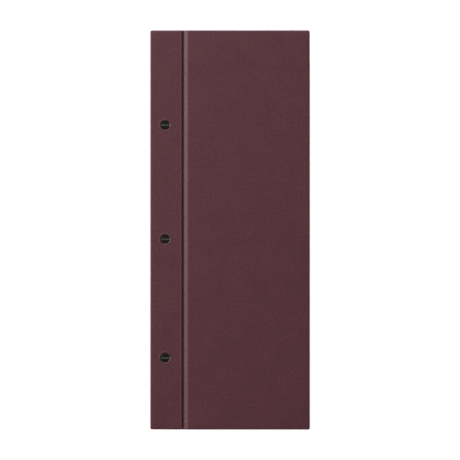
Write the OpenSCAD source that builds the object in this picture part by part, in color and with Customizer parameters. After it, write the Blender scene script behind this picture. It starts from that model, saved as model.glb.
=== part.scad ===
// Post-bound coin album, closed and lying on its back cover.
// X runs from the bound edge to the opening edge, Y from the foot to the head, Z from the back to the front.

/* [Album] */
// Width of the closed album, bound edge to opening edge
album_w = 148; // [145:1:160]
// Length of the bound edge
album_l = 370; // [366:1:390]
// Plan radius of the outer corners
corner_r = 1.6; // [1:0.1:3]

/* [Covers] */
// Width of the binding strip that the screws pass through
strip_w = 28.8; // [26:0.1:30]
// Width of the hinge groove between the strip and the cover panel
groove_w = 6; // [5:0.1:7]
// Thickness of the grey board
board_t = 2; // [1.8:0.1:3]
// Thickness of the covering cloth
cloth_t = 0.4; // [0.3:0.05:0.5]
// Thickness of the lining
lining_t = 0.3; // [0.2:0.05:0.4]
// Width of the cloth that is turned in over the board's inner face
turn_in_w = 14; // [8:1:16]
// Distance of the lining's edge from the cover's edge
lining_inset = 3; // [2:0.5:6]

/* [Binding screws] */
// Distance of the screws from the bound edge
screw_inset = 14; // [12:0.1:16]
// Height of the upper screw above the middle of the bound edge
upper_screw_y = 97.1; // [90:0.1:120]
// Height of the middle screw above the middle of the bound edge
middle_screw_y = -8.6; // [-20:0.1:20]
// Height of the lower screw above the middle of the bound edge
lower_screw_y = -118.6; // [-140:0.1:-90]
// Diameter of the screw and post heads
head_d = 8.6; // [8:0.1:10]
// Thickness of the screw and post heads
head_t = 0.95; // [0.9:0.05:1]
// Gap between a head and the wall of its dimple
dimple_gap = 0.6; // [0.4:0.1:1.6]
// Depth of the dimple around each head
dimple_depth = 1.2; // [1.1:0.05:1.3]
// Outer diameter of the post's barrel
post_d = 5; // [4.6:0.1:5.2]
// Diameter of the post's bore
post_bore_d = 3.5; // [3:0.1:3.8]
// Length of the screw's shank
shank_l = 12; // [8:1:12]
// Width of the screwdriver slot
slot_w = 1.7; // [1.2:0.1:2]

/* [Pages] */
// Number of coin pages
page_count = 4; // [3:1:4]
// Distance from one page to the next
page_pitch = 4.4; // [4.4:0.1:5]
// Length of a page along the bound edge
page_l = 362; // [350:1:364]
// Free width of the cloth web between the stub and the page
web_w = 12; // [12:0.5:14]
// Distance of the page's edge from the cover's opening edge
page_inset = 3; // [2:0.5:6]
// Thickness of the page's core board
core_t = 2.9; // [2.7:0.1:3]
// Thickness of the page's front and back card
card_t = 0.55; // [0.4:0.05:0.6]
// Rows of coin openings on a page
row_count = 9; // [6:1:9]
// Diameter of a coin opening
opening_d = 31; // [20:1:32]
// Distance from the page's head to its first opening, and from its foot to its last
end_margin = 11.5; // [10:0.5:20]
// Distance between the two columns of openings
column_pitch = 50; // [46:1:54]

/* [Slides] */
// Width of a clear slide
slide_w = 36; // [34:1:40]
// Thickness of a clear slide
slide_t = 0.3; // [0.2:0.05:0.35]
// Depth of the channel that a slide runs in
channel_depth = 0.45; // [0.4:0.05:0.5]
// Diameter of the thumb notch at the page's head
notch_d = 16; // [10:1:20]

/* [Hidden] */
$fn = 64;
// Small overlap where two shapes of one piece join, and how far a cutting shape reaches past a surface
sliver = 0.01;
overcut = 1;
left = -album_w / 2;
right = album_w / 2;
half_l = album_l / 2;
strip_edge = left + strip_w;
panel_edge = strip_edge + groove_w;
groove_x = (strip_edge + panel_edge) / 2;

// Levels inside one cover, measured up from its inner face
turn_in_z = lining_t;
board_z = lining_t + cloth_t;
cover_t = board_z + board_t + cloth_t;
groove_floor_w = 1;

block_t = page_count * page_pitch;
album_t = 2 * cover_t + block_t;

screw_x = left + screw_inset;
screw_names = ["upper", "middle", "lower"];
screw_ys = [upper_screw_y, middle_screw_y, lower_screw_y];
dimple_d = head_d + 2 * dimple_gap;
seat_gap = 0.05;
bore_clearance = 0.05;
hole_clearance = 0.2;
hole_d = post_d + 2 * hole_clearance;
head_chamfer = 0.3;
slot_depth = 0.5;
post_top_gap = 1;
bore_floor_t = 2;

stub_inset = 1;
web_t = 0.5;
web_in_stub = 10;
web_in_core = 7;
web_end_gap = 2;
page_half_l = page_l / 2;
page_x0 = strip_edge + web_w;
page_x1 = right - page_inset;
page_corner_r = 3;
inner_corner_r = 1;
column_mid = (page_x0 + page_x1) / 2;
row_pitch = (page_l - 2 * end_margin - opening_d) / (row_count - 1);
first_row_y = -page_half_l + end_margin + opening_d / 2;
channel_clearance = 0.2;
channel_end = 5;
slide_end_gap = 0.3;
slide_corner_r = 1.5;

FACES = ["front", "back"];
COLUMNS = ["left", "right"];
COVER_PIECES = ["strip_board", "cover_board", "strip_cloth", "cover_cloth",
                "hinge_cloth", "strip_lining", "cover_lining"];
PAGE_PIECES = ["stub", "web", "core", "front_card", "back_card"];
PAGES = [for (k = [1:page_count]) k];

// A column of plan area along the side at x, with its two corners rounded towards "inward".
module rounded_side(x, half, r, inward) {
    if (r > 0) {
        translate([min(x, x + inward * r), r - half])
            square([r, 2 * (half - r)]);
        for (end = [-1, 1])
            translate([x + inward * r, end * (half - r)])
                circle(r);
    }
}

// A flat sheet from x0 to x1, with its own corner radius on each side, between two levels.
module sheet(x0, x1, half, r0, r1, z0, z1) {
    translate([0, 0, z0])
        linear_extrude(z1 - z0) {
            translate([x0 + r0, -half])
                square([x1 - r1 - x0 - r0, 2 * half]);
            rounded_side(x0, half, r0, 1);
            rounded_side(x1, half, r1, -1);
        }
}

// ---- Covers: drawn with z = 0 at the inner face and +z outwards ----

module at_cover(face) {
    if (face == "front")
        translate([0, 0, album_t - cover_t])
            children();
    else
        translate([0, 0, cover_t])
            mirror([0, 0, 1])
                children();
}

module at_screws() {
    for (y = screw_ys)
        translate([screw_x, y, 0])
            children();
}

module screw_holes() {
    at_screws()
        translate([0, 0, -overcut])
            cylinder(d = hole_d, h = album_t + 2 * overcut);
}

// Cloth over one board: outer sheet, walls at the outer edges, and the turned-in margin.
// "r0" and "r1" are the corner radii; a side with radius 0 is the open side at the groove.
module wrapped_cloth(x0, x1, r0, r1) {
    wall0 = r0 > 0 ? cloth_t : -sliver;
    wall1 = r1 > 0 ? cloth_t : -sliver;
    fold0 = r0 > 0 ? turn_in_w : -sliver;
    fold1 = r1 > 0 ? turn_in_w : -sliver;
    difference() {
        sheet(x0, x1, half_l, r0, r1, turn_in_z, cover_t);
        sheet(x0 + wall0, x1 - wall1, half_l - cloth_t, max(r0 - cloth_t, 0), max(r1 - cloth_t, 0),
              board_z, cover_t - cloth_t);
        sheet(x0 + fold0, x1 - fold1, half_l - turn_in_w, 0, 0, turn_in_z - sliver, board_z + sliver);
    }
}

// Lining: a thin sheet that sinks between the turned-in margins.
module sunk_lining(x0, x1, inset0, inset1) {
    fold0 = inset0 > 0 ? turn_in_w : 0;
    fold1 = inset1 > 0 ? turn_in_w : 0;
    sheet(x0 + inset0, x1 - inset1, half_l - lining_inset, 0, 0, 0, lining_t);
    sheet(x0 + fold0, x1 - fold1, half_l - turn_in_w, 0, 0, lining_t - sliver, board_z);
}

module strip_board() {
    color("tan")
        difference() {
            sheet(left + cloth_t, strip_edge, half_l - cloth_t, corner_r - cloth_t, 0,
                  board_z, cover_t - cloth_t);
            at_screws()
                translate([0, 0, cover_t - dimple_depth - cloth_t])
                    cylinder(d = dimple_d + 2 * cloth_t, h = dimple_depth + 2 * cloth_t);
            screw_holes();
        }
}

module cover_board() {
    color("tan")
        sheet(panel_edge, right - cloth_t, half_l - cloth_t, 0, corner_r - cloth_t,
              board_z, cover_t - cloth_t);
}

module strip_cloth() {
    color([0.35, 0.22, 0.25])
        difference() {
            union() {
                wrapped_cloth(left, strip_edge, corner_r, 0);
                at_screws()
                    translate([0, 0, cover_t - dimple_depth - cloth_t])
                        cylinder(d = dimple_d + 2 * cloth_t, h = dimple_depth + cloth_t);
            }
            at_screws()
                translate([0, 0, cover_t - dimple_depth])
                    cylinder(d = dimple_d, h = dimple_depth + overcut);
            screw_holes();
        }
}

module cover_cloth() {
    color([0.35, 0.22, 0.25])
        wrapped_cloth(panel_edge, right, 0, corner_r);
}

// The valley of cloth in the groove, glued at its floor to the band of lining behind it.
module hinge_cloth() {
    floor_x = [groove_x - groove_floor_w / 2, groove_x + groove_floor_w / 2];
    color([0.33, 0.2, 0.23]) {
        rotate([90, 0, 0])
            linear_extrude(album_l, center = true)
                polygon([
                    [strip_edge, cover_t],
                    [floor_x[0], board_z],
                    [floor_x[1], board_z],
                    [panel_edge, cover_t],
                    [panel_edge, cover_t - cloth_t],
                    [floor_x[1], turn_in_z],
                    [floor_x[0], turn_in_z],
                    [strip_edge, cover_t - cloth_t]
                ]);
        sheet(strip_edge, panel_edge, half_l - lining_inset, 0, 0, 0, lining_t);
    }
}

module strip_lining() {
    color([0.2, 0.19, 0.19])
        difference() {
            sunk_lining(left, strip_edge, lining_inset, 0);
            screw_holes();
        }
}

module cover_lining() {
    color([0.2, 0.19, 0.19])
        sunk_lining(panel_edge, right, 0, lining_inset);
}

// ---- Binding screws and posts ----

// Drawn with z = 0 at the floor of the front dimple.
module screw() {
    color([0.1, 0.1, 0.1])
        difference() {
            translate([0, 0, seat_gap]) {
                cylinder(d = head_d, h = head_t - head_chamfer);
                translate([0, 0, head_t - head_chamfer])
                    cylinder(d1 = head_d, d2 = head_d - 2 * head_chamfer, h = head_chamfer);
                translate([0, 0, -shank_l])
                    cylinder(d = post_bore_d - 2 * bore_clearance, h = shank_l + sliver);
            }
            translate([-head_d, -slot_w / 2, seat_gap + head_t - slot_depth])
                cube([2 * head_d, slot_w, head_t]);
        }
}

// Drawn with z = 0 at the floor of the back dimple.
module post() {
    barrel_l = album_t - 2 * dimple_depth - post_top_gap;
    color([0.12, 0.12, 0.12])
        difference() {
            union() {
                translate([0, 0, -head_t])
                    cylinder(d = head_d, h = head_t);
                cylinder(d = post_d, h = barrel_l);
            }
            translate([0, 0, bore_floor_t])
                cylinder(d = post_bore_d, h = barrel_l);
        }
}

// ---- Pages: drawn with z = 0 at the page's middle plane ----

// Page 1 lies under the front cover.
module at_page(k) {
    translate([0, 0, album_t - cover_t - (k - 0.5) * page_pitch])
        children();
}

module at_columns() {
    for (side = [-1, 1])
        translate([column_mid + side * column_pitch / 2, 0, 0])
            children();
}

module coin_openings() {
    at_columns()
        for (row = [0:row_count - 1])
            translate([0, first_row_y + row * row_pitch, -core_t])
                cylinder(d = opening_d, h = 2 * core_t);
}

module thumb_notches() {
    at_columns()
        translate([0, page_half_l, -core_t])
            cylinder(d = notch_d, h = 2 * core_t);
}

module page_outline(z0, z1) {
    sheet(page_x0, page_x1, page_half_l, inner_corner_r, page_corner_r, z0, z1);
}

module stub() {
    slit_w = web_in_stub + sliver;
    color([0.8, 0.78, 0.72])
        difference() {
            sheet(left + stub_inset, strip_edge, page_half_l, 0, 0, -page_pitch / 2, page_pitch / 2);
            translate([strip_edge - web_in_stub, -page_l, -web_t / 2])
                cube([slit_w, 2 * page_l, web_t]);
            translate([0, 0, -album_t / 2])
                screw_holes();
        }
}

module web() {
    color([0.22, 0.2, 0.2])
        sheet(strip_edge - web_in_stub, page_x0 + web_in_core, page_half_l - web_end_gap, 0, 0,
              -web_t / 2, web_t / 2);
}

module core() {
    channel_w = slide_w + 2 * channel_clearance;
    color([0.8, 0.78, 0.72])
        difference() {
            page_outline(-core_t / 2, core_t / 2);
            translate([page_x0 - sliver, -page_l, -web_t / 2])
                cube([web_in_core + sliver, 2 * page_l, web_t]);
            at_columns()
                for (z = [-core_t / 2 - overcut, core_t / 2 - channel_depth])
                    translate([-channel_w / 2, channel_end - page_half_l, z])
                        cube([channel_w, page_l, channel_depth + overcut]);
            coin_openings();
            thumb_notches();
        }
}

module card(face) {
    z0 = face == "front" ? core_t / 2 : -core_t / 2 - card_t;
    color([0.16, 0.2, 0.34])
        difference() {
            page_outline(z0, z0 + card_t);
            coin_openings();
            thumb_notches();
        }
}

module slide(face, column) {
    side = column == "left" ? -1 : 1;
    middle = core_t / 2 - channel_depth / 2;
    z = (face == "front" ? middle : -middle) - slide_t / 2;
    foot = channel_end + slide_end_gap - page_half_l;
    color([0.85, 0.9, 0.92])
        translate([column_mid + side * column_pitch / 2, (foot + page_half_l) / 2, 0])
            sheet(-slide_w / 2, slide_w / 2, (page_half_l - foot) / 2, slide_corner_r, slide_corner_r,
                  z, z + slide_t);
}

// ---- One named piece at a time ----

for (face = FACES) {
    at_cover(face) strip_board();
    at_cover(face) cover_board();
    at_cover(face) strip_cloth();
    at_cover(face) cover_cloth();
    at_cover(face) hinge_cloth();
    at_cover(face) strip_lining();
    at_cover(face) cover_lining();
}

for (i = [0:len(screw_ys) - 1]) {
    translate([screw_x, screw_ys[i], album_t - dimple_depth]) screw();
    translate([screw_x, screw_ys[i], dimple_depth]) post();
}

for (k = PAGES) {
    at_page(k) stub();
    at_page(k) web();
    at_page(k) core();
    for (face = FACES) {
        at_page(k) card(face);
        for (column = COLUMNS)
            at_page(k) slide(face, column);
    }
}
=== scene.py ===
"""A post-bound coin album, closed, seen straight from the front.

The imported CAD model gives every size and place. The covers' cloth, the linings, the page webs, the
screws and the posts are built here; boards, stubs, cores, cards and slides keep their CAD shape.
"""

import math

import bmesh
import bpy
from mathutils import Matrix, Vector


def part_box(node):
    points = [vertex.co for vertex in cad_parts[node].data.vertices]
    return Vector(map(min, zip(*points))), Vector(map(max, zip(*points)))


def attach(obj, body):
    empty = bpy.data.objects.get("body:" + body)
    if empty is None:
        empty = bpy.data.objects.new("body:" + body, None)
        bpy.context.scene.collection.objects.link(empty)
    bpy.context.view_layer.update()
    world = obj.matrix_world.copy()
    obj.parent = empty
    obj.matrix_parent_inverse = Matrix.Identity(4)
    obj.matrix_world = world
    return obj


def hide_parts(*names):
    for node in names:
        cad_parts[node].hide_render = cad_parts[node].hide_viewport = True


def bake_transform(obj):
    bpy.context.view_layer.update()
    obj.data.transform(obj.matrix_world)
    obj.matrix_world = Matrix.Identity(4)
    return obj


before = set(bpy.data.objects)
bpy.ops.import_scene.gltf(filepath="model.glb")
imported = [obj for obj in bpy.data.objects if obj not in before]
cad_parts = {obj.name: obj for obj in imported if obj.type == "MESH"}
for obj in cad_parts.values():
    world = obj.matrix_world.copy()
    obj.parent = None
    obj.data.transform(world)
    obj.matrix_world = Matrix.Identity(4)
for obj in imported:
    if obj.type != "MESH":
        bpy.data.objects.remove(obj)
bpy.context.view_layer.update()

MM = 0.001
FACES = ("front", "back")
SCREWS = ("upper", "middle", "lower")
COLUMNS = ("left", "right")
PAGES = range(1, 1 + sum(node.endswith("_core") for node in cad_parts))

# ---- Sizes read from the frame ----

STRIP_LOW, STRIP_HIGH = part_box("front_strip_cloth")
PANEL_LOW, PANEL_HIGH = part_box("front_cover_cloth")
HINGE_LOW, HINGE_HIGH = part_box("front_hinge_cloth")

LEFT = STRIP_LOW.x
RIGHT = PANEL_HIGH.x
HALF_LENGTH = STRIP_HIGH.y
STRIP_EDGE = STRIP_HIGH.x
PANEL_EDGE = PANEL_LOW.x
ALBUM_TOP = STRIP_HIGH.z
COVER_T = HINGE_HIGH.z - HINGE_LOW.z
TURN_IN_LEVEL = STRIP_LOW.z - HINGE_LOW.z

# ---- Cover shape ----

# The corners' radius in plan, which is also how far in the rounded edge reaches
CORNER_R = 1.6 * MM
# How far the rounded edge has sunk at the outline
EDGE_DROP = 0.6 * MM
# The most that the drop may take of the height above the turned-in skin, as in the thin groove
EDGE_DROP_SHARE = 0.45
# Width of the skin folded in under the boards
TURN_IN_W = 14 * MM
SKIN_T = 0.18 * MM
GROOVE_FLOOR = TURN_IN_LEVEL + 0.9 * MM
# Where the groove is deepest, as a share of its width from the strip
GROOVE_SKEW = 0.36
# The pressed dimple round each screw, and the low lip pushed up round it
DIMPLE_R = 4.42 * MM
DIMPLE_DEPTH = 1.2 * MM
DIMPLE_WALL_LEAN = 0.06 * MM
LIP_R = 5.35 * MM
LIP_W = 0.9 * MM
LIP_HEIGHT = 0.22 * MM
LIP_INNER_DROP = 0.42 * MM
POST_HOLE_R = 2.7 * MM
LINING_T = 0.28 * MM
# How far from the groove the painted highlight on its shoulders reaches
SHOULDER_HIGHLIGHT_W = 1 * MM
# The page's joint cloth, and how far past the strip it starts and ends its fold
WEB_T = 0.26 * MM
WEB_BEND_START = 2 * MM
WEB_BEND_END = 5 * MM

# ---- Mesh grids ----

# The widest a grid cell gets on a flat stretch of cover, of end paper, and along any sheet
FLAT_STEP = 10 * MM
WEB_FLAT_STEP = 5 * MM
LENGTH_STEP = 20 * MM
# Finer cells over the groove and a little past it, and on the lip round a dimple
GROOVE_STEP = 0.3 * MM
GROOVE_MARGIN = 1.2 * MM
LIP_STEP = 0.15 * MM
# The square left out of the cover's grid round each screw, and the ring that fits inside it
PATCH_HALF = 8 * MM
PATCH_STEPS = 8
PATCH_RING_R = 7 * MM
DIMPLE_FLOOR_RING_R = 3.6 * MM
# Degrees round the rounded edge at which it has a grid line
EDGE_ANGLES = (0, 15, 30, 45, 60, 75, 90)
# A share of the corner's radius, or of a step, too small to matter
TINY_SHARE = 1e-6
LATHE_SEGMENTS = 64
# Slack for comparing places
NEAR = 0.02 * MM


def smooth_step(t):
    t = min(max(t, 0.0), 1.0)
    return t * t * (3 - 2 * t)


def groove_height(x):
    """Height of the cover's outer surface above its inner face, on the line at x, away from the edges."""
    if not STRIP_EDGE < x < PANEL_EDGE:
        return COVER_T
    t = (x - STRIP_EDGE) / (PANEL_EDGE - STRIP_EDGE)
    wall = t / GROOVE_SKEW if t < GROOVE_SKEW else (1 - t) / (1 - GROOVE_SKEW)
    return COVER_T + (GROOVE_FLOOR - COVER_T) * smooth_step(wall)


def plan_point(x, y):
    """A grid point's place in the rounded outline, and its distance from the outline."""
    mid_x = min(max(x, LEFT + CORNER_R), RIGHT - CORNER_R)
    mid_y = min(max(y, CORNER_R - HALF_LENGTH), HALF_LENGTH - CORNER_R)
    a = abs(x - mid_x) / CORNER_R
    b = abs(y - mid_y) / CORNER_R
    if min(a, b) <= TINY_SHARE:
        return x, y, min(x - LEFT, RIGHT - x, y + HALF_LENGTH, HALF_LENGTH - y)
    ring = max(a, b)
    turn = math.pi / 4 * b / a if a >= b else math.pi / 2 - math.pi / 4 * a / b
    out_x = math.copysign(CORNER_R * ring * math.cos(turn), x - mid_x)
    out_y = math.copysign(CORNER_R * ring * math.sin(turn), y - mid_y)
    return mid_x + out_x, mid_y + out_y, CORNER_R * (1 - ring)


def rounding(distance, drop):
    """How far the cover's edge has sunk at a distance in from the outline: a quarter of an ellipse."""
    inward = min(max(distance / CORNER_R, 0.0), 1.0)
    return drop * (1 - math.sqrt(1 - (1 - inward) ** 2))


def steps_between(low, high, step):
    """Evenly spaced values from low to high, no further apart than step, without high itself."""
    count = max(1, math.ceil((high - low) / step - TINY_SHARE))
    return [low + (high - low) * i / count for i in range(count)]


def edge_ladder():
    """Distances in from the outline that the rounded edge and corner need."""
    return [CORNER_R * (1 - math.cos(math.radians(a))) for a in EDGE_ANGLES]


def grid_lines(low, high, spans):
    """Grid lines from low to high: a ladder at both edges, and each (start, end, step) span between.

    A span with the same start and end is one line.
    """
    ladder = edge_ladder()
    lines = [low + d for d in ladder] + [high - d for d in ladder]
    at = low + CORNER_R
    for start, end, step in spans:
        lines += steps_between(at, start, FLAT_STEP)[1:]
        if end > start:
            lines += steps_between(start, end, step) + [end]
        at = end
    return sorted(lines + steps_between(at, high - CORNER_R, FLAT_STEP)[1:])


def square_outline(i0, i1, j0, j1):
    """The grid indices round a square, counterclockwise."""
    bottom = [(i, j0) for i in range(i0, i1)]
    right = [(i1, j) for j in range(j0, j1)]
    top = [(i, j1) for i in range(i1, i0, -1)]
    left = [(i0, j) for j in range(j1, j0, -1)]
    return bottom + right + top + left


def cell_corners(i, j):
    """The grid indices of a cell's corners, counterclockwise."""
    return [(i, j), (i + 1, j), (i + 1, j + 1), (i, j + 1)]


class Sheet:
    """Points with names and the faces between them."""

    def __init__(self):
        self.points = []
        self.faces = []
        self.names = {}

    def point(self, name, place):
        """Adds a point, unless its name is already there."""
        if name not in self.names:
            self.names[name] = len(self.points)
            self.points.append(place)

    def face(self, *names):
        self.faces.append([self.names[n] for n in names])

    def close_edge(self, last_i, last_j):
        """A wall round the grid's outline, between its under and top points."""
        outline = square_outline(0, last_i, 0, last_j)
        for here, there in zip(outline, outline[1:] + outline[:1]):
            self.face(("under", *here), ("under", *there), ("top", *there), ("top", *here))


def new_object(name, points, faces, material):
    mesh = bpy.data.meshes.new(name)
    mesh.from_pydata([Vector(p) for p in points], [], faces)
    mesh.materials.append(material)
    piece = bpy.data.objects.new(name, mesh)
    bpy.context.scene.collection.objects.link(piece)
    return piece


def apply_modifiers(piece):
    bpy.context.view_layer.update()
    graph = bpy.context.evaluated_depsgraph_get()
    mesh = bpy.data.meshes.new_from_object(piece.evaluated_get(graph))
    piece.modifiers.clear()
    piece.data = mesh


def finish_mesh(piece, rubbing_and_highlight=None):
    """Smooth shading, and two attributes for the materials: where each point was made, and its rubbing and
    painted highlight.
    """
    mesh = piece.data
    mesh.shade_smooth()
    made = mesh.attributes.new("made_at", "FLOAT_VECTOR", "POINT")
    made.data.foreach_set("vector", [c for v in mesh.vertices for c in v.co])
    if rubbing_and_highlight:
        rubbing_and_highlight_mask = mesh.attributes.new("rubbing_and_highlight", "FLOAT", "POINT")
        rubbing_and_highlight_mask.data.foreach_set("value", [rubbing_and_highlight(v.co) for v in mesh.vertices])


def sharpen(piece, angle=35):
    """Smooth shading that stays crisp at edges sharper than the angle."""
    mesh = bmesh.new()
    mesh.from_mesh(piece.data)
    bmesh.ops.recalc_face_normals(mesh, faces=mesh.faces)
    for edge in mesh.edges:
        if len(edge.link_faces) == 2 and edge.calc_face_angle() > math.radians(angle):
            edge.smooth = False
    mesh.to_mesh(piece.data)
    mesh.free()


# ---- Materials ----


class Nodes:
    """Short calls for building one material's node tree."""

    def __init__(self, name, base_color, roughness, specular=0.5):
        self.material = bpy.data.materials.new(name)
        self.material.use_nodes = True
        self.tree = self.material.node_tree
        self.shader = self.tree.nodes["Principled BSDF"]
        self.shader.inputs["Base Color"].default_value = (*base_color, 1)
        self.shader.inputs["Roughness"].default_value = roughness
        self.shader.inputs["Specular IOR Level"].default_value = specular

    def add(self, kind, **inputs):
        node = self.tree.nodes.new(kind)
        for name, value in inputs.items():
            self.set(node, name.replace("_", " "), value)
        return node

    def set(self, node, name, value):
        if isinstance(value, bpy.types.NodeSocket):
            self.tree.links.new(value, node.inputs[name])
        else:
            node.inputs[name].default_value = value

    def coordinates(self, attribute):
        """Millimetres: from the stored places on a piece built here, or from the object on a CAD node."""
        if attribute:
            source = self.add("ShaderNodeAttribute")
            source.attribute_name = "made_at"
            place = source.outputs["Vector"]
        else:
            place = self.add("ShaderNodeTexCoord").outputs["Object"]
        scale = self.add("ShaderNodeVectorMath", Vector=place)
        scale.operation = "SCALE"
        scale.inputs["Scale"].default_value = 1000
        return scale.outputs["Vector"]

    def stretched(self, place, factors):
        return self.add("ShaderNodeMapping", Vector=place, Scale=factors).outputs["Vector"]

    def noise(self, place, size, detail=3.0, roughness=0.55):
        """Cloudy noise whose features are about size millimetres across."""
        node = self.add("ShaderNodeTexNoise", Vector=place, Scale=1 / size, Detail=detail)
        self.set(node, "Roughness", roughness)
        return node.outputs["Fac"]

    def cells(self, place, size, smoothness=0.6):
        """Rounded cells about size millimetres across: 0 at their middles."""
        node = self.tree.nodes.new("ShaderNodeTexVoronoi")
        node.feature = "SMOOTH_F1"
        self.set(node, "Vector", place)
        self.set(node, "Scale", 1 / size)
        self.set(node, "Smoothness", smoothness)
        return node.outputs["Distance"]

    def math(self, operation, a, b):
        node = self.tree.nodes.new("ShaderNodeMath")
        node.operation = operation
        for socket, value in zip(node.inputs, (a, b)):
            if isinstance(value, bpy.types.NodeSocket):
                self.tree.links.new(value, socket)
            else:
                socket.default_value = value
        return node.outputs["Value"]

    def spread(self, value, low, high):
        """A 0 to 1 value mapped to the range low to high."""
        node = self.add("ShaderNodeMapRange", Value=value, To_Min=low, To_Max=high)
        return node.outputs["Result"]

    def mix(self, amount, first, second):
        node = self.tree.nodes.new("ShaderNodeMix")
        node.data_type = "RGBA"
        for index, value in ((0, amount), (6, first), (7, second)):
            if isinstance(value, bpy.types.NodeSocket):
                self.tree.links.new(value, node.inputs[index])
            elif index:
                node.inputs[index].default_value = (*value, 1)
            else:
                node.inputs[index].default_value = value
        return node.outputs[2]

    def duller(self, roughness, where, low, high, dull):
        """Roughness that rises to dull as where goes from low to high."""
        amount = self.add("ShaderNodeMapRange", Value=where, From_Min=low, From_Max=high)
        node = self.tree.nodes.new("ShaderNodeMix")
        node.data_type = "FLOAT"
        self.tree.links.new(amount.outputs["Result"], node.inputs[0])
        self.tree.links.new(roughness, node.inputs[2])
        node.inputs[3].default_value = dull
        return node.outputs[0]

    def bump(self, height, distance_mm, strength=1.0):
        node = self.add("ShaderNodeBump", Height=height, Distance=distance_mm * MM, Strength=strength)
        self.tree.links.new(node.outputs["Normal"], self.shader.inputs["Normal"])

    def link(self, socket, name):
        self.tree.links.new(socket, self.shader.inputs[name])


def shade(color, factor):
    return tuple(c * factor for c in color)


def leatherette():
    """Burgundy leatherette: a fine pebble grain, duller where the edges rub, and paler there and on the
    groove's shoulders, partly from wear and partly as a painted highlight on the edges that face the lights.

    At shallow angles the grain's hills hide its gloss.
    """
    base = (0.073, 0.0198, 0.028)
    n = Nodes("burgundy_leatherette", base, 0.5, 0.3)
    place = n.coordinates(True)
    warp = n.noise(place, 2.2, 2)
    pebbles = n.cells(place, 0.95)
    pores = n.noise(place, 0.3, 2)
    broad = n.noise(place, 20, 3)
    mottle = n.noise(place, 2.4, 2, 0.6)
    height = n.math("ADD", n.math("ADD", pebbles, mottle), n.math("MULTIPLY", pores, 0.5))
    n.bump(height, 0.13, 0.9)
    color = n.mix(n.spread(broad, -0.9, 1.9), shade(base, 0.89), shade(base, 1.11))
    color = n.mix(n.spread(mottle, -1.2, 1.8), color, shade(base, 0.68))
    color = n.mix(n.spread(pebbles, 0.0, 0.6), color, shade(base, 0.74))
    rubbing_and_highlight_mask = n.add("ShaderNodeAttribute")
    rubbing_and_highlight_mask.attribute_name = "rubbing_and_highlight"
    edge_rub_and_highlight = n.math("MULTIPLY", rubbing_and_highlight_mask.outputs["Fac"], n.spread(warp, 0.45, 0.85))
    # Paler colour where the edge mask is set: partly wear, partly a painted highlight on the edges and groove
    # shoulders that face the lights.
    color = n.mix(edge_rub_and_highlight, color, (0.14, 0.07, 0.08))
    n.link(color, "Base Color")
    grazed = n.add("ShaderNodeLayerWeight", Blend=0.5).outputs["Facing"]
    rubbed_dull = n.duller(n.spread(pores, 0.4, 0.54), rubbing_and_highlight_mask.outputs["Fac"], 0.5, 1.0, 0.85)
    n.link(n.duller(rubbed_dull, grazed, 0.45, 0.9, 0.95), "Roughness")
    return n.material


def end_paper():
    """Black end paper with a fine embossed crackle."""
    base = (0.03, 0.028, 0.029)
    n = Nodes("black_end_paper", base, 0.7, 0.3)
    place = n.coordinates(True)
    crackle = n.cells(place, 1.3, 0.3)
    fibre = n.noise(place, 0.25, 2)
    n.bump(n.math("ADD", crackle, n.math("MULTIPLY", fibre, 0.3)), 0.05, 0.5)
    n.link(n.mix(n.spread(n.noise(place, 25), 0, 1), shade(base, 0.85), shade(base, 1.25)), "Base Color")
    n.link(n.spread(crackle, 0.58, 0.78), "Roughness")
    return n.material


# The wave texture's own wavelength, in millimetres here
WAVE_AT_SCALE_1 = math.tau / 20


def woven(n, place, pitch):
    """Plain weave: two thread waves at right angles, one over the other in turn."""
    waves = []
    for direction in ("X", "Y"):
        wave = n.add("ShaderNodeTexWave", Vector=place, Scale=WAVE_AT_SCALE_1 / pitch, Distortion=0.6)
        wave.bands_direction = direction
        waves.append(wave.outputs["Fac"])
    return n.math("MAXIMUM", *waves)


def web_cloth():
    """The pages' black woven joint cloth."""
    base = (0.032, 0.03, 0.03)
    n = Nodes("black_book_cloth", base, 0.85, 0.25)
    place = n.coordinates(True)
    weave = woven(n, place, 0.45)
    n.bump(weave, 0.08, 0.8)
    n.link(n.mix(weave, shade(base, 0.5), shade(base, 1.5)), "Base Color")
    n.shader.inputs["Sheen Weight"].default_value = 0.15
    return n.material


def board(name, base, tone):
    """Board or card: short fibres, with the plies showing as fine layers on the cut edges."""
    n = Nodes(name, base, 0.88, 0.3)
    place = n.coordinates(False)
    fibres = n.noise(n.stretched(place, (1, 0.25, 4)), 0.5, 4)
    plies = n.noise(n.stretched(place, (0.04, 0.04, 1)), 0.22, 1)
    flecks = n.noise(place, 0.9, 2, 0.8)
    color = n.mix(fibres, shade(base, 1 - tone), shade(base, 1 + tone))
    color = n.mix(n.spread(plies, -0.5, 0.9), color, shade(base, 1 - 1.5 * tone))
    n.link(color, "Base Color")
    n.bump(n.math("ADD", fibres, n.math("MULTIPLY", flecks, 0.4)), 0.04, 0.6)
    return n.material


def card_face():
    """Charcoal card of the page faces, with a fine linen emboss."""
    base = (0.035, 0.037, 0.045)
    n = Nodes("charcoal_card", base, 0.72, 0.35)
    place = n.coordinates(False)
    linen = woven(n, place, 0.6)
    broad = n.noise(place, 18, 4)
    n.bump(linen, 0.03, 0.6)
    n.link(n.mix(broad, shade(base, 0.8), shade(base, 1.25)), "Base Color")
    n.link(n.spread(linen, 0.64, 0.8), "Roughness")
    return n.material


def clear_slide():
    """Clear acetate with faint scratches along its travel."""
    n = Nodes("clear_acetate", (0.97, 0.985, 0.99), 0.05, 0.5)
    place = n.coordinates(False)
    scratches = n.noise(n.stretched(place, (6, 0.05, 1)), 1.0, 2, 0.7)
    n.link(n.spread(scratches, 0.02, 0.16), "Roughness")
    n.bump(scratches, 0.01, 0.3)
    n.shader.inputs["IOR"].default_value = 1.48
    n.shader.inputs["Transmission Weight"].default_value = 0.95
    return n.material


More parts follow.
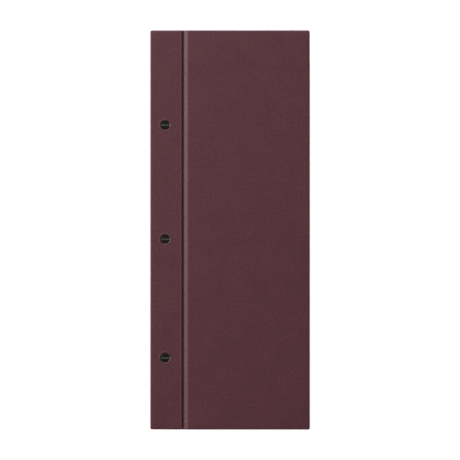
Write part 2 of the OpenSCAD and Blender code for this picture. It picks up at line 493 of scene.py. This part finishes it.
def black_lacquer():
    """Black lacquer on the screw and post heads, faintly orange-peeled."""
    base = (0.0035, 0.0035, 0.0038)
    n = Nodes("black_lacquer", base, 0.33, 0.22)
    place = n.coordinates(True)
    peel = n.noise(place, 0.7, 3)
    n.bump(peel, 0.02, 0.5)
    n.link(n.spread(peel, 0.26, 0.42), "Roughness")
    n.link(n.mix(n.noise(place, 2.0), shade(base, 0.8), shade(base, 1.4)), "Base Color")
    return n.material


def bare_and_lit_slot():
    """The slot's walls and floor in grey metal, lighter than the head: partly bare metal where the driver has
    scraped the lacquer, partly a painted highlight for the light that the slot catches.
    """
    # Grey, well above the black lacquer: a painted highlight in the slot.
    base = (0.06, 0.06, 0.062)
    n = Nodes("bare_and_lit_slot_metal", base, 0.5, 0.4)
    place = n.coordinates(True)
    marks = n.noise(n.stretched(place, (0.3, 4, 1)), 0.3, 2)
    n.shader.inputs["Metallic"].default_value = 0.7
    n.bump(marks, 0.02, 0.4)
    n.link(n.mix(marks, shade(base, 0.6), shade(base, 1.5)), "Base Color")
    return n.material


def pale_floor():
    """Plain white paper sweep."""
    base = (0.9, 0.9, 0.9)
    n = Nodes("pale_floor", base, 0.9, 0.2)
    place = n.coordinates(False)
    n.link(n.mix(n.noise(place, 300, 2), shade(base, 0.99), shade(base, 1.01)), "Base Color")
    n.shader.inputs["Emission Color"].default_value = (1, 1, 1, 1)
    n.shader.inputs["Emission Strength"].default_value = 0.72
    return n.material


LEATHERETTE = leatherette()
END_PAPER = end_paper()
WEB_CLOTH = web_cloth()
GREY_BOARD = board("grey_board", (0.3, 0.275, 0.235), 0.16)
PAGE_BOARD = board("page_board", (0.56, 0.52, 0.44), 0.1)
CARD_FACE = card_face()
CLEAR_SLIDE = clear_slide()
BLACK_LACQUER = black_lacquer()
BARE_AND_LIT_SLOT = bare_and_lit_slot()

# ---- Covers ----


def cover_place(face):
    """A function that turns (x, y, height above the cover's inner face) into a place in the frame."""
    inner = ALBUM_TOP - COVER_T if face == "front" else COVER_T
    up = 1 if face == "front" else -1
    return lambda x, y, height: (x, y, inner + up * height)


def centre_of(node):
    """The middle of a node's box in plan."""
    low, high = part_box(node)
    return (low.x + high.x) / 2, (low.y + high.y) / 2


def skin_edge_rubbing_and_highlight(place):
    """1 at the bound edge and the head, which rub on a shelf and face the lights, for their dulling and a
    painted highlight; 0.5 at the groove's shoulders, for a painted highlight only; else 0.
    """
    edge = min(place.x - LEFT, HALF_LENGTH - place.y)
    shoulder = min(abs(place.x - STRIP_EDGE), abs(place.x - PANEL_EDGE))
    return max(0.0, 1 - edge / CORNER_R, 0.5 * (1 - shoulder / SHOULDER_HIGHLIGHT_W))


def edge_drop(x):
    """How far the rounded edge sinks at x: less in the thin groove."""
    return min(EDGE_DROP, (groove_height(x) - TURN_IN_LEVEL) * EDGE_DROP_SHARE)


def outer_height(x, distance):
    """Height of the skin's outer face: the groove's profile less the rounding at the outline."""
    return groove_height(x) - rounding(distance, edge_drop(x))


def inner_height(x, distance):
    """Height of the turned-in skin's face under the board."""
    return TURN_IN_LEVEL + rounding(distance, edge_drop(x))


def dimple_height(radius):
    """Height of the skin at a distance from a screw's axis: the dimple and the low lip pushed up round it."""
    if radius < DIMPLE_R:
        return COVER_T - DIMPLE_DEPTH
    if radius > LIP_R:
        return COVER_T + LIP_HEIGHT * smooth_step(1 - (radius - LIP_R) / LIP_W)
    inward = (LIP_R - radius) / (LIP_R - DIMPLE_R)
    return COVER_T + LIP_HEIGHT - LIP_INNER_DROP * smooth_step(inward)


def add_dimple(sheet, place, number, centre, rim):
    """Rings from a square hole in the grid in to the dimple's floor, round its post hole."""
    lip = steps_between(DIMPLE_R, LIP_R + LIP_W, LIP_STEP) + [LIP_R + LIP_W]
    floor = [DIMPLE_R - DIMPLE_WALL_LEAN, DIMPLE_FLOOR_RING_R, POST_HOLE_R]
    outer = rim
    for ring, radius in enumerate([PATCH_RING_R, *reversed(lip), *floor]):
        inner = []
        for step, name in enumerate(rim):
            x, y, _ = sheet.points[sheet.names[name]]
            away = Vector((x - centre[0], y - centre[1])).normalized() * radius
            inner.append(("dimple", number, ring, step))
            sheet.point(inner[-1], place(centre[0] + away.x, centre[1] + away.y, dimple_height(radius)))
        for step in range(len(rim)):
            after = (step + 1) % len(rim)
            sheet.face(outer[step], outer[after], inner[after], inner[step])
        outer = inner


def nearest(lines, value):
    """The index of the grid line nearest to a value."""
    return min(range(len(lines)), key=lambda index: abs(lines[index] - value))


def cover_skin(face):
    """The one sheet of leatherette over strip, groove and panel, turned in round all four edges."""
    place = cover_place(face)
    centres = [centre_of(f"{name}_screw") for name in SCREWS]
    patch_step = 2 * PATCH_HALF / PATCH_STEPS
    patch_x = [(centres[0][0] - PATCH_HALF, centres[0][0] + PATCH_HALF, patch_step)]
    groove = (STRIP_EDGE - GROOVE_MARGIN, PANEL_EDGE + GROOVE_MARGIN, GROOVE_STEP)
    patch_y = [(y - PATCH_HALF, y + PATCH_HALF, patch_step) for _, y in sorted(centres, key=lambda c: c[1])]
    turn_in = (RIGHT - TURN_IN_W, RIGHT - TURN_IN_W, FLAT_STEP)
    xs = grid_lines(LEFT, RIGHT, [*patch_x, groove, turn_in])
    ys = grid_lines(-HALF_LENGTH, HALF_LENGTH, patch_y)
    last_i, last_j = len(xs) - 1, len(ys) - 1
    sheet = Sheet()
    for i, x in enumerate(xs):
        for j, y in enumerate(ys):
            px, py, distance = plan_point(x, y)
            sheet.point(("top", i, j), place(px, py, outer_height(px, distance)))
    holes = set()
    for number, (cx, cy) in enumerate(centres):
        i0, i1 = nearest(xs, cx - PATCH_HALF), nearest(xs, cx + PATCH_HALF)
        j0, j1 = nearest(ys, cy - PATCH_HALF), nearest(ys, cy + PATCH_HALF)
        holes |= {(i, j) for i in range(i0, i1) for j in range(j0, j1)}
        rim = [("top", *point) for point in square_outline(i0, i1, j0, j1)]
        add_dimple(sheet, place, number, (cx, cy), rim)
    for i in range(last_i):
        for j in range(last_j):
            corners = cell_corners(i, j)
            if (i, j) not in holes:
                sheet.face(*[("top", *c) for c in corners])
            plans = [plan_point(xs[a], ys[b]) for a, b in corners]
            if min(p[2] for p in plans) < TURN_IN_W - NEAR:
                for (a, b), (px, py, distance) in zip(corners, plans):
                    sheet.point(("under", a, b), place(px, py, inner_height(px, distance)))
                sheet.face(*[("under", *c) for c in reversed(corners)])
    sheet.close_edge(last_i, last_j)
    faces = sheet.faces if face == "front" else [f[::-1] for f in sheet.faces]
    skin = new_object(f"{face}_leatherette", sheet.points, faces, LEATHERETTE)
    solid = skin.modifiers.new("thickness", "SOLIDIFY")
    solid.thickness = SKIN_T
    solid.offset = -1
    apply_modifiers(skin)
    finish_mesh(skin, skin_edge_rubbing_and_highlight)
    sharpen(skin, 60)
    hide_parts(f"{face}_strip_cloth", f"{face}_hinge_cloth", f"{face}_cover_cloth")
    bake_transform(skin)


def flat_sheet(name, material, xs, half_length, low, thickness):
    """A thin closed sheet with grid lines at xs, between low and low + thickness."""
    ys = steps_between(-half_length, half_length, LENGTH_STEP) + [half_length]
    sheet = Sheet()
    for side, z in (("under", low), ("top", low + thickness)):
        for i, x in enumerate(xs):
            for j, y in enumerate(ys):
                sheet.point((side, i, j), (x, y, z))
    last_i, last_j = len(xs) - 1, len(ys) - 1
    for i in range(last_i):
        for j in range(last_j):
            corners = cell_corners(i, j)
            sheet.face(*[("top", *c) for c in corners])
            sheet.face(*[("under", *c) for c in reversed(corners)])
    sheet.close_edge(last_i, last_j)
    piece = new_object(name, sheet.points, sheet.faces, material)
    finish_mesh(piece)
    sharpen(piece)
    return piece


def cover_lining(face):
    """The end paper over the cover's inner side, running across the groove."""
    low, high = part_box(f"{face}_cover_lining")
    inner = low.z if face == "front" else high.z - LINING_T
    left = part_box(f"{face}_strip_lining")[0].x
    xs = steps_between(left, STRIP_EDGE, FLAT_STEP)
    xs += steps_between(STRIP_EDGE, PANEL_EDGE, GROOVE_STEP)
    xs += steps_between(PANEL_EDGE, high.x, FLAT_STEP) + [high.x]
    lining = flat_sheet(f"{face}_end_paper", END_PAPER, xs, high.y, inner, LINING_T)
    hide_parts(f"{face}_strip_lining", f"{face}_cover_lining")
    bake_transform(lining)


def page_web(page):
    """The woven cloth that joins a page's core to its stub.

    No grid lines lie inside its fold, so an opened page's fold stays taut and clear of the next.
    """
    low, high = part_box(f"page_{page}_web")
    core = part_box(f"page_{page}_core")[0].x
    fold = (STRIP_EDGE + WEB_BEND_START, STRIP_EDGE + WEB_BEND_END)
    xs = steps_between(low.x, fold[0], WEB_FLAT_STEP) + [*fold, core, high.x]
    under = (low.z + high.z - WEB_T) / 2
    web = flat_sheet(f"page_{page}_joint_cloth", WEB_CLOTH, xs, high.y, under, WEB_T)
    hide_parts(f"page_{page}_web")
    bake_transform(web)


# ---- Screws and posts ----

# Both heads
HEAD_T = 0.95 * MM
DOME = 0.1 * MM
RIM_STEPS = 5
# The screw's rim, bevels, shank and slot
SCREW_RIM_R = 0.45 * MM
HEAD_BEVEL = 0.1 * MM
SHANK_R = 1.7 * MM
SHANK_BEVEL = 0.3 * MM
SLOT_W = 1.7 * MM
SLOT_DEPTH = 0.5 * MM
# How far the slot's cutter reaches past the head
CUTTER_MARGIN = 1 * MM
# The post's rim, barrel and bore
POST_RIM_R = 0.35 * MM
BARREL_R = 2.5 * MM
BORE_R = 1.75 * MM
BORE_FLOOR_T = 2 * MM


def lathe(name, profile, material):
    """A closed solid of revolution about Z from (radius, height) points that start and end on the axis."""
    mesh = bmesh.new()
    rings = []
    for radius, height in profile:
        if radius == 0:
            rings.append([mesh.verts.new((0, 0, height))])
            continue
        angles = [math.tau * k / LATHE_SEGMENTS for k in range(LATHE_SEGMENTS)]
        rings.append([mesh.verts.new((radius * math.cos(a), radius * math.sin(a), height)) for a in angles])
    for lower, upper in zip(rings, rings[1:]):
        for k in range(LATHE_SEGMENTS):
            after = (k + 1) % LATHE_SEGMENTS
            corners = [(lower, k), (lower, after), (upper, after), (upper, k)]
            quad = [ring[index % len(ring)] for ring, index in corners]
            mesh.faces.new(list(dict.fromkeys(quad)))
    bmesh.ops.recalc_face_normals(mesh, faces=mesh.faces)
    piece = new_object(name, [], [], material)
    mesh.to_mesh(piece.data)
    mesh.free()
    return piece


def rounded_rim(outer, top, radius):
    """The head's rim and slightly domed top, from its side to the axis."""
    angles = [math.pi / 2 * k / RIM_STEPS for k in range(RIM_STEPS + 1)]
    rim = [(outer - radius * (1 - math.cos(a)), top - DOME - radius * (1 - math.sin(a))) for a in angles]
    flat = rim[-1][0]
    return rim + [(flat * k, top - DOME * k**2) for k in (0.75, 0.5, 0.25)] + [(0, top)]


def cut_slot(head, top, head_r):
    """Cuts the driver slot right across a head, and gives its faces the grey metal with its painted
    highlight.
    """
    low = top - SLOT_DEPTH
    high = top + CUTTER_MARGIN
    half = SLOT_W / 2
    radius = head_r + CUTTER_MARGIN
    corners = [(x, y, z) for z in (low, high) for x in (-radius, radius) for y in (-half, half)]
    faces = [(0, 1, 3, 2), (4, 6, 7, 5), (0, 4, 5, 1), (2, 3, 7, 6), (0, 2, 6, 4), (1, 5, 7, 3)]
    cutter = new_object("slot_cutter", corners, faces, BARE_AND_LIT_SLOT)
    head.data.materials.append(BARE_AND_LIT_SLOT)
    cut = head.modifiers.new("slot", "BOOLEAN")
    cut.operation = "DIFFERENCE"
    cut.solver = "EXACT"
    cut.object = cutter
    apply_modifiers(head)
    bpy.data.objects.remove(cutter)
    for polygon in head.data.polygons:
        centre = polygon.center
        in_slot = abs(centre.y) < half + NEAR and low - NEAR < centre.z < top - NEAR
        polygon.material_index = 1 if in_slot else 0


def move_mesh(piece, x, y):
    for vertex in piece.data.vertices:
        vertex.co.x += x
        vertex.co.y += y


def screw(name):
    """A binding screw: slotted black head with a rounded rim, and its plain shank."""
    low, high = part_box(f"{name}_screw")
    head_r = (high.x - low.x) / 2
    seat = high.z - HEAD_T
    profile = [(0, low.z), (SHANK_R - SHANK_BEVEL, low.z), (SHANK_R, low.z + SHANK_BEVEL), (SHANK_R, seat)]
    profile += [(head_r - HEAD_BEVEL, seat), (head_r, seat + HEAD_BEVEL)]
    profile += rounded_rim(head_r, high.z, SCREW_RIM_R)
    piece = lathe(f"{name}_screw_head", profile, BLACK_LACQUER)
    cut_slot(piece, high.z, head_r)
    move_mesh(piece, *centre_of(f"{name}_screw"))
    finish_mesh(piece)
    sharpen(piece)
    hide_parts(f"{name}_screw")
    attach(piece, f"{name}_screw")


def post(name):
    """A binding post: low domed flange at the back, and the bored barrel that the screw enters."""
    low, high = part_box(f"{name}_post")
    head_r = (high.x - low.x) / 2
    seat = low.z + HEAD_T
    bore_floor = seat + BORE_FLOOR_T
    flipped = rounded_rim(head_r, HEAD_T, POST_RIM_R)
    profile = [(radius, low.z + HEAD_T - height) for radius, height in reversed(flipped)]
    profile += [(head_r, seat), (BARREL_R, seat), (BARREL_R, high.z)]
    profile += [(BORE_R, high.z), (BORE_R, bore_floor), (0, bore_floor)]
    piece = lathe(f"{name}_post_barrel", profile, BLACK_LACQUER)
    move_mesh(piece, *centre_of(f"{name}_post"))
    finish_mesh(piece)
    sharpen(piece)
    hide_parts(f"{name}_post")
    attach(piece, "binding")


# ---- CAD nodes that keep their shape ----


def repaint(node, material):
    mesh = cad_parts[node].data
    mesh.materials.clear()
    mesh.materials.append(material)


def repaint_boards_and_pages():
    for face in FACES:
        repaint(f"{face}_strip_board", GREY_BOARD)
        repaint(f"{face}_cover_board", GREY_BOARD)
    for page in PAGES:
        repaint(f"page_{page}_stub", GREY_BOARD)
        repaint(f"page_{page}_core", PAGE_BOARD)
        for face in FACES:
            repaint(f"page_{page}_{face}_card", CARD_FACE)
            for column in COLUMNS:
                repaint(f"page_{page}_{face}_{column}_slide", CLEAR_SLIDE)


# ---- Floor, light and camera ----


def add_floor():
    """A square floor at the level of the closed album's back cover."""
    half = 3.0
    corners = [(-half, -half, 0), (half, -half, 0), (half, half, 0), (-half, half, 0)]
    floor = new_object("floor", corners, [(0, 1, 2, 3)], pale_floor())


def add_area_light(name, place, width, height, power):
    """A rectangular softbox aimed at the middle of the front cover; its width lies level."""
    light = bpy.data.lights.new(name, "AREA")
    light.shape = "RECTANGLE"
    light.size = width
    light.size_y = height
    light.energy = power
    lamp = bpy.data.objects.new(name, light)
    lamp.location = place
    aim = Vector((0, 0, ALBUM_TOP)) - Vector(place)
    lamp.rotation_euler = aim.to_track_quat("-Z", "Y").to_euler()
    bpy.context.scene.collection.objects.link(lamp)


def add_lights():
    add_area_light("left_side", (-1.2, 0.3, 0.85), 1.2, 0.35, 28)
    add_area_light("head_end", (-0.2, 2.2, 1.6), 0.6, 0.6, 52)
    add_world(0.27)


def add_world(strength):
    """Even studio light from all sides."""
    world = bpy.data.worlds.new("studio")
    world.use_nodes = True
    background = world.node_tree.nodes["Background"]
    background.inputs["Color"].default_value = (1, 1, 1, 1)
    background.inputs["Strength"].default_value = strength
    bpy.context.scene.world = world


def add_camera():
    """Straight down on the front cover, from so far off that the album's sides don't show."""
    distance = 3.0
    view_width = 0.426
    # The view's centre lies a little off the album's
    off_centre_x = 0.05 * MM
    off_centre_y = -0.15 * MM
    camera = bpy.data.cameras.new("camera")
    camera.sensor_width = 36
    camera.lens = camera.sensor_width * distance / view_width
    camera.clip_end = 20
    viewer = bpy.data.objects.new("camera", camera)
    viewer.location = (off_centre_x, off_centre_y, ALBUM_TOP + distance)
    bpy.context.scene.collection.objects.link(viewer)
    bpy.context.scene.camera = viewer


for cover_face in FACES:
    cover_skin(cover_face)
    cover_lining(cover_face)
for page_number in PAGES:
    page_web(page_number)
for screw_name in SCREWS:
    screw(screw_name)
    post(screw_name)
repaint_boards_and_pages()
add_floor()
add_lights()
add_camera()
bpy.context.scene.view_settings.view_transform = "Standard"
